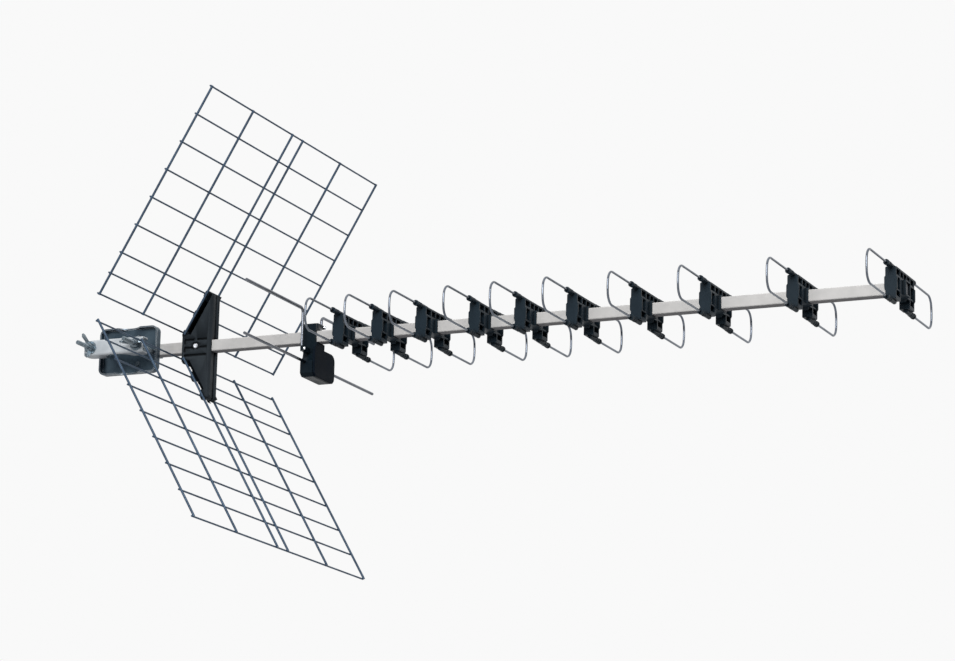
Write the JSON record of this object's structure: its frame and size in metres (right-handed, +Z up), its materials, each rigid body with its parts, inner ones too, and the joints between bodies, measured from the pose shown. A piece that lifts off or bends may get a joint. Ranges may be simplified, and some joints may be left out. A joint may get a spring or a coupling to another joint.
{
  "type": "uhf tv antenna",
  "caption": "Directional aerial: square boom with a V-shaped wire mesh reflector, a dipole on a connection box, a row of wire-bow directors and a two-bolt mast clamp.",
  "frame": {"origin": "on the axis of the mast that the clamp grips, at the height of the boom's axis", "axes": "+X forward along the boom toward the directors, +Y across the boom away from the clamp saddle, +Z up along the mast"},
  "size_m": [1.168, 0.5032, 0.581],
  "materials": {
    "boom": "extruded, plain",
    "boom_cap": "moulded, matt",
    "mesh_wire": "dark zinc-coated welded wire",
    "bracket": "moulded, fine texture",
    "small_screw": "zinc plated",
    "dipole_rod": "drawn, bright",
    "box_shell": "moulded, fine texture",
    "box_cover": "moulded, fine texture",
    "board": "circuit board",
    "contact": "rolled strip",
    "socket": "nickel plated",
    "clamp_sheet": "pressed, zinc plated",
    "clamp_saddle": "pressed, zinc plated",
    "fastener": "zinc plated",
    "director_rod": "drawn, bright",
    "director_holder": "moulded, fine texture"
  },
  "bodies": {
    "root": {"balun_board": "board", "boom_cap_front": "boom_cap", "boom_cap_rear": "boom_cap", "boom_keeper": "clamp_sheet", "boom_tube": "boom", "bracket_nut": "small_screw", "bracket_screw": "small_screw", "clamp_bolts": "fastener", "clamp_pan": "clamp_sheet", "clamp_saddle": "clamp_saddle", "clamp_washers": "fastener", "clamp_wing_nuts": "fastener", "coax_socket": "socket", "contact_strip_far": "contact", "contact_strip_near": "contact", "dipole_cover": "box_cover", "dipole_housing": "box_shell", "dipole_lower_rod_far": "dipole_rod", "dipole_lower_rod_near": "dipole_rod", "dipole_rod_far": "dipole_rod", "dipole_rod_near": "dipole_rod", "dipole_screws": "small_screw", "director_holder_01": "director_holder", "director_holder_02": "director_holder", "director_holder_03": "director_holder", "director_holder_04": "director_holder", "director_holder_05": "director_holder", "director_holder_06": "director_holder", "director_holder_07": "director_holder", "director_holder_08": "director_holder", "director_holder_09": "director_holder", "director_holder_10": "director_holder", "director_rod_01_far": "director_rod", "director_rod_01_near": "director_rod", "director_rod_02_far": "director_rod", "director_rod_02_near": "director_rod", "director_rod_03_far": "director_rod", "director_rod_03_near": "director_rod", "director_rod_04_far": "director_rod", "director_rod_04_near": "director_rod", "director_rod_05_far": "director_rod", "director_rod_05_near": "director_rod", "director_rod_06_far": "director_rod", "director_rod_06_near": "director_rod", "director_rod_07_far": "director_rod", "director_rod_07_near": "director_rod", "director_rod_08_far": "director_rod", "director_rod_08_near": "director_rod", "director_rod_09_far": "director_rod", "director_rod_09_near": "director_rod", "director_rod_10_far": "director_rod", "director_rod_10_near": "director_rod", "keeper_rivets": "fastener", "reflector_bracket_far": "bracket", "reflector_bracket_near": "bracket", "reflector_mesh_lower": "mesh_wire", "reflector_mesh_upper": "mesh_wire"}
  },
  "joints": []
}
